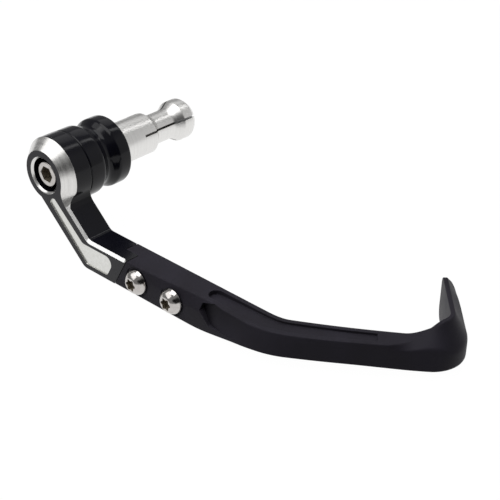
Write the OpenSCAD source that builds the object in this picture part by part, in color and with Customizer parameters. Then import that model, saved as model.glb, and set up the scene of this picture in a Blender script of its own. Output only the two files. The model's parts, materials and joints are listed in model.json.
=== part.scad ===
// Brake lever guard: a bar end clamp, a milled arm and a moulded blade that wraps round the lever tip.
// X runs along the handlebar towards the rider's grip, -Y is forward and Z is up.
// The origin is the centre of the handlebar's end, where the bar end barrel meets it.

/* [Hub and arm] */
// Diameter of the round hub at the bolt
hub_d = 27.8; // [24:0.2:31]
// Diameter of the flat outer face inside the wide bevel
hub_face_d = 20; // [18:0.2:22]
// Depth of the wide bevel along the bolt
hub_bevel = 4.4; // [3:0.1:5.5]
// Thickness of the hub and arm along the bolt
arm_t = 12; // [10.5:0.5:14]
// Slope of the first leg below forward
leg_angle = 42.5; // [35:0.5:48]
// Distance of the first leg's lower edge from the bolt centre
leg_low = 8.7; // [8:0.1:10]
// Distance of the first leg's upper edge from the bolt centre
leg_high = 2.2; // [1.5:0.1:3]
// Height of the second leg's middle below the bolt centre
drop = 24.9; // [23:0.1:28]
// Height of the second leg and of the blade's screw pad
pad_h = 12.4; // [11.5:0.1:14]
// Thin bevel along the arm's upper edge
edge_bevel = 1; // [0.5:0.1:1.4]
// Gap between the thin bevel's end and the blade joint
bevel_gap = 0.4; // [0.2:0.1:1]
// Radius where the hub runs into the first leg
hub_fillet = 4.5; // [3:0.5:5]
// Radius of the same corner on the outer face
face_fillet = 7; // [6:0.1:8]
// Radius under the elbow
elbow_low_r = 4; // [2:0.5:6]
// Radius on top of the elbow
elbow_high_r = 3; // [2:0.5:5]

/* [Pocket in the arm] */
// Depth of the bright pocket
pocket_depth = 1.6; // [0.8:0.1:2.4]
// Width left between the pocket and the lower edge
pocket_low = 2.2; // [1.6:0.1:3]
// Width left between the pocket and the first leg's upper edge
pocket_high = 3.8; // [3:0.1:4.8]
// Width left between the pocket and the second leg's upper edge
pocket_top = 2.3; // [1.8:0.1:3]
// Start of the pocket along the first leg from the bolt centre
pocket_start = 8.6; // [8.4:0.1:12]
// Narrowing of the pocket towards its start
pocket_taper = 0.8; // [0:0.1:1.2]
// Radius of the pocket's narrow end
pocket_end_r = 1.5; // [0.6:0.1:1.6]
// Radius of the pocket's small corners
pocket_corner_r = 1; // [0.5:0.1:1.3]
// Gap between the pocket's end and the blade joint
pocket_gap = 5; // [3:0.1:8]

/* [Blade joint] */
// Place of the joint forward of the bolt, at mid height
joint_y = 41.2; // [39:0.2:44]
// Lean of the joint line forward of upright
joint_lean = 28.5; // [15:0.5:35]
// Setback of the joint on the inner half of the arm
joint_step = 6.5; // [3:0.5:8]
// Thickness of the arm's tongue inside the blade
tongue_t = 5.4; // [4:0.1:6]
// Height of the tongue
tongue_h = 8.2; // [7.2:0.1:9]
// Room round the tongue
tongue_play = 0.15; // [0.1:0.01:0.3]
// First screw forward of the joint
screw_first = 9; // [8.6:0.1:12]
// Spacing of the two blade screws
screw_pitch = 18.1; // [15:0.1:20]

/* [Blade] */
// Straight run from the joint to the first bend
straight_run = 61.3; // [56:0.5:70]
// Radius of the first bend
first_r = 24; // [18:1:32]
// Turn of the first bend
first_turn = 31.5; // [25:0.5:38]
// Length of the blade's middle run
mid_run = 51.3; // [40:0.1:64]
// Turn spread over the middle run
mid_turn = 8; // [3:0.5:14]
// Radius of the hook at the blade's end
hook_r = 13.3; // [12:0.1:18]
// Turn of the hook
hook_turn = 92.5; // [75:0.5:105]
// Straight length after the hook
tip_run = 22.4; // [16:0.1:30]
// Height of the blade's middle run
blade_h = 9; // [7.5:0.1:11]
// Thickness of the middle run where it starts
blade_t = 10; // [9:0.1:12]
// Thickness of the middle run where the hook starts
blade_end_t = 7.7; // [7:0.1:9]
// Thickness of the hook at its foot
hook_t = 6.8; // [5.6:0.1:8]
// Height that the hook's fin rises above the blade
fin_rise = 6.1; // [3:0.1:9]
// Drop of the hook's lower edge below the middle run
fin_drop = 1.9; // [0:0.1:4]
// Height of the upright band under the fin's sloping face
fin_band = 7.4; // [5:0.1:9]
// Inward turn of the outer face at the blade's tip
tip_turn = 3; // [1:0.1:3.6]
// Rounding of the tip's upper corner
tip_top_r = 2; // [1:0.1:3]
// Rounding of the tip's lower corner
tip_low_r = 4; // [2:0.1:6]
// Length over which the fin rises before the hook
fin_lead = 9; // [6:0.5:12]
// Length over which it goes on rising in the hook
fin_gain = 9.5; // [8:0.5:12]
// Length over which the lower edge drops before the hook
drop_lead = 22; // [16:0.5:26]
// Width of the fin's top edge
fin_edge = 1.4; // [1:0.1:2]
// Depth that the neck behind the pad draws in
neck_in = 0.8; // [0:0.1:1.6]
// Length over which the neck draws in
neck_lead = 10; // [6:0.5:12]
// Length of the neck from where it starts to draw in
neck_run = 18; // [14:0.5:20]
// Length over which the neck fills out again
neck_fade = 12; // [8:0.5:14]
// Rounding of the blade's long edges
blade_round = 0.9; // [0.4:0.1:1.4]

/* [Recess and scoop in the blade] */
// Start of the top recess from the joint
recess_from = 41.5; // [40:0.5:50]
// Distance from the recess's square end to the hook
recess_to_hook = 18; // [16:0.5:40]
// Depth of the recess at its start
recess_deep = 1.7; // [1.4:0.1:2.8]
// Depth of the recess along the middle run
recess_flat = 1; // [0.6:0.1:1.6]
// Width of the outer rim beside the recess
rim_out = 2.1; // [1.6:0.1:2.8]
// Width of the inner rim beside the recess
rim_in = 2; // [1.2:0.1:2.4]
// Step where the side scoop starts
scoop_depth = 1.9; // [0.6:0.1:2.4]
// Length over which the scoop runs out
scoop_run = 20; // [14:0.5:24]
// Start of the scoop from the joint
scoop_from = 41; // [39:0.5:46]
// Height of the strip left above the scoop
scoop_top = 2; // [1.4:0.1:3]

/* [Bar end barrel] */
// Length of the barrel between the hub and the handlebar
barrel_len = 20.5; // [17:0.5:28]
// Diameter of the barrel
barrel_d = 27.6; // [24:0.2:31]
// Width of the groove at the barrel's surface
groove_w = 7.8; // [5:0.1:9]
// Depth of the groove
groove_d = 2.1; // [1:0.1:3]
// Length of the collar between the groove and the handlebar
collar_len = 5.8; // [4:0.1:7]
// Rounding of the collar's rim
collar_round = 1.2; // [0.6:0.1:2]

/* [Expander sleeve] */
// Diameter of the sleeve's base, a sliding fit in a 7/8 inch handlebar
sleeve_d = 16.6; // [14:0.1:18]
// Depth of the seat that takes the sleeve in the barrel's end
seat_deep = 1; // [0.6:0.1:2]
// Length of the base
base_len = 19.2; // [15:0.1:23]
// Diameter of the neck
neck_d = 12.2; // [11:0.1:13]
// Start of the flare from the handlebar's end
flare_from = 31; // [27:0.1:34]
// Length of the flare
flare_len = 3.6; // [2:0.1:5]
// Length of the gripping band
band_len = 4.6; // [3:0.1:8]
// Length of the end bevel
end_bevel = 2.2; // [1.4:0.1:5]
// Diameter at the sleeve's far end
end_d = 13.2; // [12.4:0.1:14]
// Start of the slots from the handlebar's end
slot_from = 13; // [9:0.1:17]
// Width of the four slots
slot_w = 0.9; // [0.6:0.1:1.4]
// Turn of the slots about the bolt
slot_turn = 67; // [0:1:89]
// Bore of the slotted part
sleeve_bore = 8; // [7:0.1:8.6]
// Depth of the cone seat in the far end
cone_len = 10; // [7:0.1:12]
// Large diameter of the cone seat
cone_d = 10.8; // [10:0.1:11.4]

/* [Fasteners] */
// Thread size of the clamp bolt and the blade screws
thread_d = 6; // [5:1:6]
// Room round each thread in a plain hole
hole_play = 0.4; // [0.2:0.1:0.6]
// Room round each thread where it is screwed in
thread_play = 0.1; // [0.06:0.02:0.2]
// Head diameter of the clamp bolt
bolt_head_d = 10; // [9:0.1:10.6]
// Head height of the clamp bolt
bolt_head_h = 6; // [5:0.1:6.6]
// Distance that the bolt head lies below the hub's face
bolt_sunk = 1.4; // [0.6:0.1:2.5]
// Width of the bolt's hex socket across flats
hex_af = 5.8; // [4:0.1:6]
// Diameter of the counterbore round the bolt head
cbore_d = 13.4; // [12:0.1:14.4]
// Bevel on the counterbore's rim
cbore_bevel = 0.8; // [0.3:0.1:1]
// Length that the bolt stands through the cone nut
bolt_past_nut = 1; // [0:0.1:3]
// Head diameter of the blade screws
screw_head_d = 10; // [9:0.1:10.4]
// Head height of the blade screws
screw_head_h = 3.4; // [2.6:0.1:4]
// Length of the blade screws under the head
screw_len = 10; // [8.8:0.1:10.4]
// Diameter of the spotface under each blade screw
spot_d = 11; // [10.8:0.1:11.8]
// Depth of the spotface
spot_depth = 0.1; // [0.1:0.1:1]
// Width of the six-lobe socket across its lobes
lobe_w = 4.6; // [3.5:0.1:5]

/* [Hidden] */
$fn = 64;
over = 1;                                  // how far a cutter runs past the face it cuts
small = 0.3;                               // broken edge on turned and milled pieces
arm_in = -barrel_len;                      // plane where the hub meets the barrel
arm_out = arm_in - arm_t;                  // plane of the hub's outer face
hub_r = hub_d / 2;
pad_top = -drop + pad_h / 2;
pad_low = -drop - pad_h / 2;
arm_mid = (arm_in + arm_out) / 2;
tongue_end = screw_first + screw_pitch + tongue_h / 2;
screw_x = arm_out + spot_depth;            // seat of the screw heads on the blade
bolt_top = arm_out + bolt_sunk;
bolt_seat = bolt_top + bolt_head_h;
sleeve_len = flare_from + flare_len + band_len + end_bevel;
head_play = 0.1;
seat_play = 0.1;
foot_in = 0.8;                             // the sleeve's foot in its seat is narrower than its base by this
along = [cos(leg_angle), -sin(leg_angle)]; // down the first leg, as [forward, up]
below = [-sin(leg_angle), -cos(leg_angle)];

// A side view: x is forward, y is up, and an extrusion grows outwards from the plane x
module side(x) translate([x, 0, 0]) rotate([90, 0, -90]) children();

// A plan view: x is forward, y is along the handlebar
module plan() rotate([0, 0, -90]) children();

// A turned piece: its profile is [radius, place along the bolt]
module turned() rotate([0, 90, 0]) rotate_extrude() children();

// A cylinder along the bolt's direction, from x to x + len
module rod(x, len, d) translate([x, 0, 0]) rotate([0, 90, 0]) cylinder(h = len, d = d);

// The centre of a circle of radius r that touches both sides of the corner at p
function corner_centre(a, p, b, r) =
    let (u = (a - p) / norm(a - p), v = (b - p) / norm(b - p))
    p + (u + v) / norm(u + v) * r / sin(acos(u * v) / 2);

// The sliver between a corner at p and that circle: taken off or filled in, it rounds the corner
module sliver(a, p, b, r) {
    c = corner_centre(a, p, b, r);
    u = (a - p) / norm(a - p);
    v = (b - p) / norm(b - p);
    reach = (c - p) * u;
    difference() {
        polygon([p, p + reach * u, c, p + reach * v]);
        translate(c) circle(r = r);
    }
}

// The same corner as a run of short steps, for a small pocket
function corner(a, p, b, r) =
    let (c = corner_centre(a, p, b, r), u = (a - p) / norm(a - p), s = p + ((c - p) * u) * u - c,
         first = atan2(s.y, s.x), turn = cross(p - a, b - p),
         sweep = sign(turn) * acos((p - a) * (b - p) / norm(p - a) / norm(b - p)), n = ceil(abs(sweep) / 6))
    [for (i = [0 : n]) c + r * [cos(first + sweep * i / n), sin(first + sweep * i / n)]];
function rounded(list) =
    let (n = len(list), at = [for (p = list) [p.x, p.y]])
    [for (i = [0 : n - 1]) each corner(at[(i + n - 1) % n], at[i], at[(i + 1) % n], list[i].z)];

// The point where the first leg, at a distance below the bolt centre, reaches a height
function leg_meets(low, z) =
    let (t = (z - low * below.y) / along.y) [low * below.x + t * along.x, z];

function joint_at(z) = joint_y + (z + drop) * tan(joint_lean);
function with_r(p, r) = [p.x, p.y, r];

/* Arm */

// Side outline of the two legs up to the joint
module leg_outline() {
    points = [leg_low * below, leg_meets(leg_low, pad_low), [joint_at(pad_low), pad_low],
              [joint_at(pad_top), pad_top], leg_meets(-leg_high, pad_top), -leg_high * below];
    difference() {
        union() {
            polygon(points);
            sliver(points[3], points[4], points[5], elbow_high_r);
        }
        sliver(points[0], points[1], points[2], elbow_low_r);
    }
}

// A circle of radius r that touches a round of radius R from outside and lies high above the leg's middle
function beside(R, high, r) = -(high + r) * below + sqrt(pow(R + r, 2) - pow(high + r, 2)) * along;
fillet_c = beside(hub_r, leg_high, hub_fillet);
fillet_face_c = beside(hub_face_d / 2, leg_high - edge_bevel, face_fillet);
fillet_dir = fillet_face_c / norm(fillet_face_c);
fillet_sin = -(fillet_dir * below);
fillet_foot_r = max(0.4, (hub_r * fillet_sin - leg_high - hub_bevel + edge_bevel) / (1 - fillet_sin));
fillet_foot_c = (hub_r + fillet_foot_r) * fillet_dir;

// The corner between the hub and the first leg, filled to a round of radius hub_fillet
module fillet_web() {
    difference() {
        polygon([[0, 0], fillet_c, fillet_c + hub_fillet * below]);
        translate(fillet_c) circle(r = hub_fillet);
    }
}

// A leaning cone takes the wide bevel down to the thin one round the fillet
module fillet_bevel() {
    thin = 0.01;
    side(arm_out + hub_bevel) hull() {
        translate(fillet_foot_c) cylinder(h = thin, r = fillet_foot_r, $fn = 48);
        translate([fillet_face_c.x, fillet_face_c.y, hub_bevel])
            cylinder(h = thin, r = face_fillet, $fn = 48);
    }
}

// Everything past the wide bevel's cone, down to the bevel's depth
module hub_bevel_cut() {
    side(arm_out + hub_bevel) difference() {
        cylinder(h = hub_bevel + over, r = hub_r + over);
        cylinder(h = hub_bevel + over, r1 = hub_r,
                 r2 = hub_face_d / 2 - (hub_r - hub_face_d / 2) * over / hub_bevel);
    }
}

elbow_c = leg_meets(-leg_high - elbow_high_r, pad_top + elbow_high_r);

// A wedge that bevels an upper edge of the arm's outer face from one point to another
module edge_wedge(from, to) {
    dir = to - from;
    side(arm_out + edge_bevel) translate(from) rotate([0, 90, atan2(dir.y, dir.x)])
        linear_extrude(norm(dir)) polygon([[0, over], [0, 0], [-edge_bevel, -edge_bevel],
                                           [-edge_bevel - over, -edge_bevel], [-edge_bevel - over, over]]);
}

// The thin bevel follows the first leg, goes round the elbow as a cone and stops short of the joint
module edge_bevel_cut() {
    end = [joint_at(pad_top) - edge_bevel - bevel_gap, pad_top];
    edge_wedge((fillet_face_c * along) * along - leg_high * below, elbow_c + elbow_high_r * below);
    edge_wedge([elbow_c.x, pad_top], end);
    side(arm_out + edge_bevel) translate(end) cylinder(h = edge_bevel + over, r1 = 0, r2 = edge_bevel + over);
    side(arm_out + edge_bevel) translate(elbow_c)
        cylinder(h = edge_bevel + over, r1 = elbow_high_r, r2 = elbow_high_r + edge_bevel + over);
}

module pocket_outline() {
    low = leg_low - pocket_low;
    high = pocket_high - leg_high;
    end = function(z) joint_at(z) - pocket_gap;
    top = pad_top - pocket_top;
    bottom = pad_low + pocket_low * 0.85;
    polygon(rounded([
        with_r((low - pocket_taper) * below + pocket_start * along, pocket_end_r),
        with_r(leg_meets(low, bottom), pocket_corner_r),
        [end(bottom), bottom, pocket_corner_r],
        [end(top), top, 3 * pocket_corner_r],
        with_r(leg_meets(high, top), elbow_high_r),
        with_r((high + pocket_taper / 2) * below + pocket_start * along, pocket_end_r)]));
}

module arm_blank() {
    side(arm_in) {
        cylinder(h = arm_t, r = hub_r);
        linear_extrude(arm_t) leg_outline();
        linear_extrude(arm_t) fillet_web();
    }
}

// The arm stops short on its inner half, where the blade's lip laps back over it
module joint_step_cut() {
    side(arm_in + over) linear_extrude(arm_t / 2 + over)
        polygon([[joint_at(pad_low - over) - joint_step, pad_low - over],
                 [joint_at(pad_low - over) + over + joint_step, pad_low - over],
                 [joint_at(pad_top + over) + over + joint_step, pad_top + over],
                 [joint_at(pad_top + over) - joint_step, pad_top + over]]);
}

// The tongue's side outline, rounded about the front screw; grow widens it for the blade's slot
module tongue_outline(grow) {
    r = tongue_h / 2 + grow;
    front = joint_y + screw_first + screw_pitch;
    translate([front, -drop]) circle(r = r);
    translate([joint_y - 2 * joint_step, -drop - r]) square([front - joint_y + 2 * joint_step, 2 * r]);
}

module tongue(grow) {
    side(arm_mid + tongue_t / 2 + grow) linear_extrude(tongue_t + 2 * grow) tongue_outline(grow);
}

module screw_places() {
    for (i = [0, 1]) translate([0, -joint_y - screw_first - i * screw_pitch, -drop]) children();
}

module arm() {
    color("#2b2b2f") difference() {
        union() {
            difference() {
                arm_blank();
                joint_step_cut();
            }
            tongue(0);
        }
        hub_bevel_cut_masked();
        fillet_bevel();
        edge_bevel_cut();
        rod(arm_out - over, arm_t + 2 * over, thread_d + hole_play);
        rod(arm_out - over, bolt_seat - arm_out + over, cbore_d);
        side(arm_out + cbore_bevel) cylinder(h = cbore_bevel + over, d1 = cbore_d,
                                            d2 = cbore_d + 2 * (cbore_bevel + over));
        side(arm_out + pocket_depth) linear_extrude(pocket_depth + over) pocket_outline();
        screw_places() rod(arm_out, arm_t, thread_d + thread_play);
    }
}

// The wide bevel runs round the hub up to the fillet's cone on one side and the leg on the other
module hub_bevel_cut_masked() {
    reach = 3 * hub_r;
    difference() {
        hub_bevel_cut();
        side(arm_in) linear_extrude(arm_t + 2 * over) {
            leg_outline();
            polygon([[0, 0], reach * fillet_dir, reach * along, leg_low * below]);
        }
    }
}

/* Blade */

runs = [[straight_run, 0], [first_r * first_turn * PI / 180, first_turn], [mid_run, mid_turn],
        [hook_r * hook_turn * PI / 180, hook_turn], [tip_run, 0]];
ends = [for (i = 0, s = runs[0][0]; i < len(runs); i = i + 1, s = s + (i < len(runs) ? runs[i][0] : 0)) s];
mid_s = ends[1];
hook_s = ends[2];
tip_s = ends[3];
end_s = ends[4];

// A point and heading on the blade's outer face in plan, at distance s from the joint
function go(p, s, run) =
    let (h = p.z, a = run[1] * s / run[0])
    run[1] == 0 ? [p.x + s * cos(h), p.y + s * sin(h), h]
    : let (r = run[0] / (run[1] * PI / 180))
      [p.x + r * (sin(h + a) - sin(h)), p.y + r * (cos(h) - cos(h + a)), h + a];
function spine(s, i = 0, p = [joint_y, arm_out, 0]) =
    s <= runs[i][0] || i == len(runs) - 1 ? go(p, s, runs[i])
    : spine(s - runs[i][0], i + 1, go(p, runs[i][0], runs[i]));

function mix(a, b, t) = a + (b - a) * t;
function ramp(s, from, to) = let (t = min(1, max(0, (s - from) / (to - from)))) t * t * (3 - 2 * t);

// Sizes of the blade's section at distance s; the outer face starts to lean a little ahead of the fin
lean_ahead = fin_lead - 2;
neck_s = screw_first + screw_pitch + 2;
function neck(s) = neck_in * ramp(s, neck_s, neck_s + neck_lead)
    * (1 - ramp(s, neck_s + neck_run, neck_s + neck_run + neck_fade));
function thick(s) =
    mix(mix(arm_t, mix(blade_t, blade_end_t, (s - mid_s) / (hook_s - mid_s)),
            ramp(s, runs[0][0] - 4, mid_s + 3)), hook_t, ramp(s, hook_s, tip_s));
function fin(s) = ramp(s, hook_s - fin_lead, hook_s + fin_gain);
function leaning(s) = ramp(s, hook_s - fin_lead - lean_ahead, hook_s + fin_gain - lean_ahead);
// The last few millimetres close in from the top, from the foot and from the outer face
function closing(s, len) =
    let (t = min(1, max(0, (s - end_s + len) / len))) 1 - sqrt(max(0, 1 - t * t));
function tip_in(s) = tip_turn * closing(s, 1.6 * tip_turn);
function top_z(s) = pad_top + fin_rise * fin(s) - tip_top_r * closing(s, tip_top_r);
function low_z(s) =
    mix(mix(pad_low, pad_top - blade_h, ramp(s, neck_s + 6, runs[0][0] + 4)),
        pad_top - blade_h - fin_drop, ramp(s, hook_s - drop_lead, tip_s)) + tip_low_r * closing(s, tip_low_r);
function ridge_z(s) =
    let (under = top_z(s) - scoop_top) mix(under, min(under, low_z(s) + fin_band), fin(s));

// The section as [outward offset, height], from the outer foot up and round to the inner foot
function section(s) =
    let (zt = top_z(s), zb = low_z(s), zr = ridge_z(s), t = thick(s), e = blade_round, in = tip_in(s),
         lean = in + max(neck(s), (t - fin_edge - in) * leaning(s)),
         crown = mix(e, 0.45 * fin_edge, leaning(s)) * 0.6, foot = e * (1 + 0.6 * fin(s)))
    [[-in - foot, zb], [-in - 0.3 * foot, zb + 0.3 * foot], [-in, zb + foot],
     [-in, zr], [-lean, zt - crown], [-lean - 0.3 * crown, zt - 0.3 * crown], [-lean - crown, zt],
     [-t + crown, zt], [-t + 0.3 * crown, zt - 0.3 * crown], [-t, zt - 1.4 * crown],
     [-t - 0.3 * fin(s), zb + e], [-t + 0.3 * e, zb + 0.3 * e], [-t + e, zb]];

function place(s, q) =
    let (p = spine(s), f = p.x + q.x * sin(p.z), x = p.y - q.x * cos(p.z)) [x, -f, q.y];

function steps(from, to, n) = [for (i = [0 : n - 1]) mix(from, to, i / n)];
blade_start = -joint_step - arm_t;
stations = concat([blade_start], steps(neck_s, runs[0][0], 14), steps(runs[0][0], mid_s, 8),
                  steps(mid_s, hook_s - drop_lead, 4), steps(hook_s - drop_lead, hook_s, 10),
                  steps(hook_s, tip_s, 18), steps(tip_s, end_s - 1.6 * tip_turn, 3),
                  [for (a = [0 : 9 : 90]) end_s - 1.6 * tip_turn * (1 - sin(a))]);

// A closed skin over a row of sections
module skin(rings) {
    m = len(rings[0]);
    n = len(rings);
    pts = [for (ring = rings) each ring];
    sides = [for (i = [0 : n - 2], j = [0 : m - 1]) let (k = (j + 1) % m)
             each [[i * m + j, i * m + k, (i + 1) * m + k], [i * m + j, (i + 1) * m + k, (i + 1) * m + j]]];
    caps = [[for (j = [m - 1 : -1 : 0]) j], [for (j = [0 : m - 1]) (n - 1) * m + j]];
    polyhedron(points = pts, faces = concat(sides, caps), convexity = 6);
}

module blade_body() {
    skin([for (s = stations) [for (q = section(s)) place(s, q)]]);
}

recess_end = hook_s - recess_to_hook;
function recess_depth(s) = mix(recess_deep, recess_flat, ramp(s, recess_from, ends[0] + 8));
function recess_ring(s) =
    let (wide = 1 - pow(1 - min(1, (s - recess_from) / 3), 2), c = -(thick(s) + neck(s)) / 2,
         half = (thick(s) - rim_out - rim_in - neck(s)) / 2 * sqrt(max(0.02, wide)))
    [c - (rim_out - rim_in) / 2 + half, c - (rim_out - rim_in) / 2 - half];

// The long recess follows the blade, round at its start and square at its end
module recess() {
    rows = concat([for (a = [0 : 15 : 90]) recess_from + 3 * (1 - cos(a))],
                  steps(recess_from + 5, ends[0], 8),
                  steps(ends[0], mid_s, 7), steps(mid_s, recess_end, 5), [recess_end]);
    skin([for (s = rows) let (w = recess_ring(s), zb = pad_top - recess_depth(s))
          [place(s, [w[0], zb]), place(s, [w[0], pad_top + over]), place(s, [w[1], pad_top + over]),
           place(s, [w[1], zb])]]);
}

// The scoop starts at a step that slants down and forward, and runs out along the outer face
module scoop() {
    from = joint_y + scoop_from;
    top = pad_top - scoop_top;
    foot = pad_top - 0.8 * pad_h;
    intersection() {
        side(arm_out + scoop_depth) linear_extrude(scoop_depth + over)
            polygon([[from, top], [from, top - 2], [from + top - 2 - foot, foot],
                     [from + scoop_run, foot + 2], [from + scoop_run, top]]);
        translate([0, 0, pad_low]) linear_extrude(pad_h) plan() translate([from, arm_out])
            polygon([[0, -over], [0, scoop_depth], [scoop_run, 0], [scoop_run, -over]]);
    }
}

// What lies behind the joint, outside the lip on the inner half
module behind_joint() {
    side(arm_in - arm_t / 2) linear_extrude(arm_t / 2 + over)
        polygon([[-over, pad_low - over], [joint_at(pad_low - over), pad_low - over],
                 [joint_at(pad_top + over), pad_top + over], [-over, pad_top + over]]);
    side(arm_in + over) linear_extrude(arm_t + 2 * over)
        polygon([[-over, pad_low - over], [joint_at(pad_low - over) - joint_step, pad_low - over],
                 [joint_at(pad_top + over) - joint_step, pad_top + over], [-over, pad_top + over]]);
}

module guard_blade() {
    color("#26262a") difference() {
        blade_body();
        behind_joint();
        tongue(tongue_play);
        screw_places() {
            rod(screw_x - over, screw_len + over + 0.3, thread_d + hole_play);
            rod(arm_out - over, over + spot_depth, spot_d);
        }
        recess();
        scoop();
    }
}

/* Bar end */

module bar_end_barrel() {
    r = barrel_d / 2;
    groove_in = -collar_len;
    groove_out = -collar_len - groove_w;
    flat = groove_w * 0.12;
    mid = (groove_in + groove_out) / 2;
    inner = (thread_d + hole_play) / 2;
    color("#1c1c1f") turned() polygon(concat(
        [[inner, arm_in], [r - small, arm_in], [r, arm_in + small], [r, groove_out - small],
         [r - small, groove_out], [r - groove_d, mid - flat], [r - groove_d, mid + flat],
         [r - small, groove_in], [r, groove_in + small]],
        [for (a = [0 : 10 : 90]) [r - collar_round * (1 - cos(a)), -collar_round * (1 - sin(a))]],
        [[sleeve_d / 2 + seat_play, 0], [sleeve_d / 2 + seat_play, -seat_deep], [inner, -seat_deep]]));
}

module expander_sleeve() {
    r = sleeve_d / 2;
    flare_to = flare_from + flare_len;
    bore = sleeve_bore / 2;
    color("#d9dadc") difference() {
        turned() polygon([
            [(thread_d + hole_play) / 2, -seat_deep], [r - foot_in, -seat_deep], [r - foot_in, 0], [r, 0],
            [r, base_len - small],
            [r - small, base_len], [neck_d / 2, base_len + 2.2], [neck_d / 2, flare_from],
            [r - small, flare_to - small], [r, flare_to], [r, flare_to + band_len],
            [end_d / 2, sleeve_len], [cone_d / 2, sleeve_len], [bore, sleeve_len - cone_len],
            [bore, slot_from - 2], [(thread_d + hole_play) / 2, slot_from - 2]]);
        for (i = [0 : 3]) rotate([slot_turn + 90 * i, 0, 0])
            translate([slot_from, -slot_w / 2, 0]) cube([sleeve_len, slot_w, sleeve_d]);
    }
}

// The nut's cone matches the seat and lies head_play inside it
module cone_nut() {
    grow = (cone_d - sleeve_bore) / 2 / cone_len;
    nut_len = cone_len - 1;
    big = cone_d / 2 - head_play;
    color("#b9babd") difference() {
        turned() polygon([[0, sleeve_len - nut_len], [big - grow * nut_len, sleeve_len - nut_len],
                          [big, sleeve_len], [0, sleeve_len]]);
        rod(sleeve_len - nut_len - over, nut_len + 2 * over, thread_d + thread_play);
    }
}

module clamp_bolt() {
    shank = sleeve_len + bolt_past_nut - bolt_seat;
    color("#c9cacc") difference() {
        union() {
            turned() polygon([[0, bolt_top], [bolt_head_d / 2 - 0.5, bolt_top],
                              [bolt_head_d / 2, bolt_top + 0.5], [bolt_head_d / 2, bolt_seat], [0, bolt_seat]]);
            turned() polygon([[0, bolt_seat - over], [thread_d / 2, bolt_seat - over],
                              [thread_d / 2, bolt_seat + shank - 0.8], [thread_d / 2 - 0.8, bolt_seat + shank],
                              [0, bolt_seat + shank]]);
        }
        side(bolt_top + 3) cylinder(h = 3 + over, d = hex_af / cos(30), $fn = 6);
        rod(bolt_top - over, 3 + over + 0.6, hex_af * 0.8);
    }
}

/* Blade screws */

module lobes(depth) {
    r = lobe_w / 2;
    linear_extrude(depth) {
        circle(r = 0.76 * r);
        for (i = [0 : 5]) rotate(60 * i) translate([0.8 * r, 0]) circle(r = 0.2 * r, $fn = 16);
    }
}

// A domed head with a flat rim and a six-lobe socket, seated on the blade's outer face
module blade_screw() {
    rim = 0.25;
    crown = screw_head_h - rim;
    flat_r = 0.54 * screw_head_d / 2;
    r = screw_head_d / 2;
    ball = (r * r - flat_r * flat_r + crown * crown) / (2 * crown);
    ball_r = sqrt(r * r + pow(crown - ball, 2));
    from = asin((ball - crown) / ball_r);
    to = asin(ball / ball_r);
    color("#cfd0d2") difference() {
        union() {
            translate([screw_x, 0, 0]) rotate([0, -90, 0]) rotate_extrude() polygon(concat(
                [[0, 0], [r - 0.2, 0], [r, rim]],
                [for (i = [1 : 12]) let (a = mix(from, to, i / 12))
                 [ball_r * cos(a), rim + crown - ball + ball_r * sin(a)]],
                [[0, screw_head_h]]));
            turned() polygon([[0, screw_x - 0.5], [thread_d / 2, screw_x - 0.5],
                              [thread_d / 2, screw_x + screw_len - 0.7],
                              [thread_d / 2 - 0.7, screw_x + screw_len], [0, screw_x + screw_len]]);
        }
        side(screw_x - screw_head_h + 2) lobes(2 + over);
    }
}

module screw_at(i) translate([0, -joint_y - screw_first - i * screw_pitch, -drop]) blade_screw();

module blade_screw_rear() screw_at(0);

module blade_screw_front() screw_at(1);

arm();
guard_blade();
bar_end_barrel();
expander_sleeve();
cone_nut();
clamp_bolt();
blade_screw_rear();
blade_screw_front();
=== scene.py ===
# Brake lever guard: the looks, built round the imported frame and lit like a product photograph.
import json
import math

import bmesh
import bpy
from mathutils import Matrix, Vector

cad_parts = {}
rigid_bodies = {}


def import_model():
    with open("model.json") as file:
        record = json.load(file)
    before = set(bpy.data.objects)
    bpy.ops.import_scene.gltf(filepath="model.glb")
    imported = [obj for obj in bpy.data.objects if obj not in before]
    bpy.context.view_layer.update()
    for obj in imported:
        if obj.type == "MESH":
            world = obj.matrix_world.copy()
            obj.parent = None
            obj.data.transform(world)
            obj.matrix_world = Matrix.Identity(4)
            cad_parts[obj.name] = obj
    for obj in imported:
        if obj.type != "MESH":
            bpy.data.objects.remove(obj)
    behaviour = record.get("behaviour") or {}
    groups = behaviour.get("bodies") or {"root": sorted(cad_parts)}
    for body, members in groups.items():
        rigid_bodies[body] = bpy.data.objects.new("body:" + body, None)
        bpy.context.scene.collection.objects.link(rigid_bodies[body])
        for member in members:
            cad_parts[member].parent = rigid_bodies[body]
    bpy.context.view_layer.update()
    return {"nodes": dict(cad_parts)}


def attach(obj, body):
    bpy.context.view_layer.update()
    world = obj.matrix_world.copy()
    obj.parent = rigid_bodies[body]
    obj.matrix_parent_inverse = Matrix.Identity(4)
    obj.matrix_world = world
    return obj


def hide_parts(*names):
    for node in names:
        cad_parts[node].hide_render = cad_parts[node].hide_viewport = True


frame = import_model()
mm = 0.001
print("frame loaded with", len(frame["nodes"]), "nodes")


# Camera at the photograph's viewing angle
cameraView = {
    "place": (-297.518, -344.146, 226.351),  # mm
    "turn": (58.971, -1.0311, -47.3298),     # degrees about x, y and z
    "lens": 92.617,                          # mm on a 36 mm sensor
}


def makeCamera(view):
    lens = bpy.data.cameras.new("photoCamera")
    lens.lens = view["lens"]
    lens.sensor_width = 36
    lens.clip_start = 0.01
    camera = bpy.data.objects.new("photoCamera", lens)
    camera.location = Vector(view["place"]) * mm
    camera.rotation_euler = [math.radians(angle) for angle in view["turn"]]
    bpy.context.scene.collection.objects.link(camera)
    bpy.context.scene.camera = camera


makeCamera(cameraView)
print("camera set")


# Nodes and colours


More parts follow.
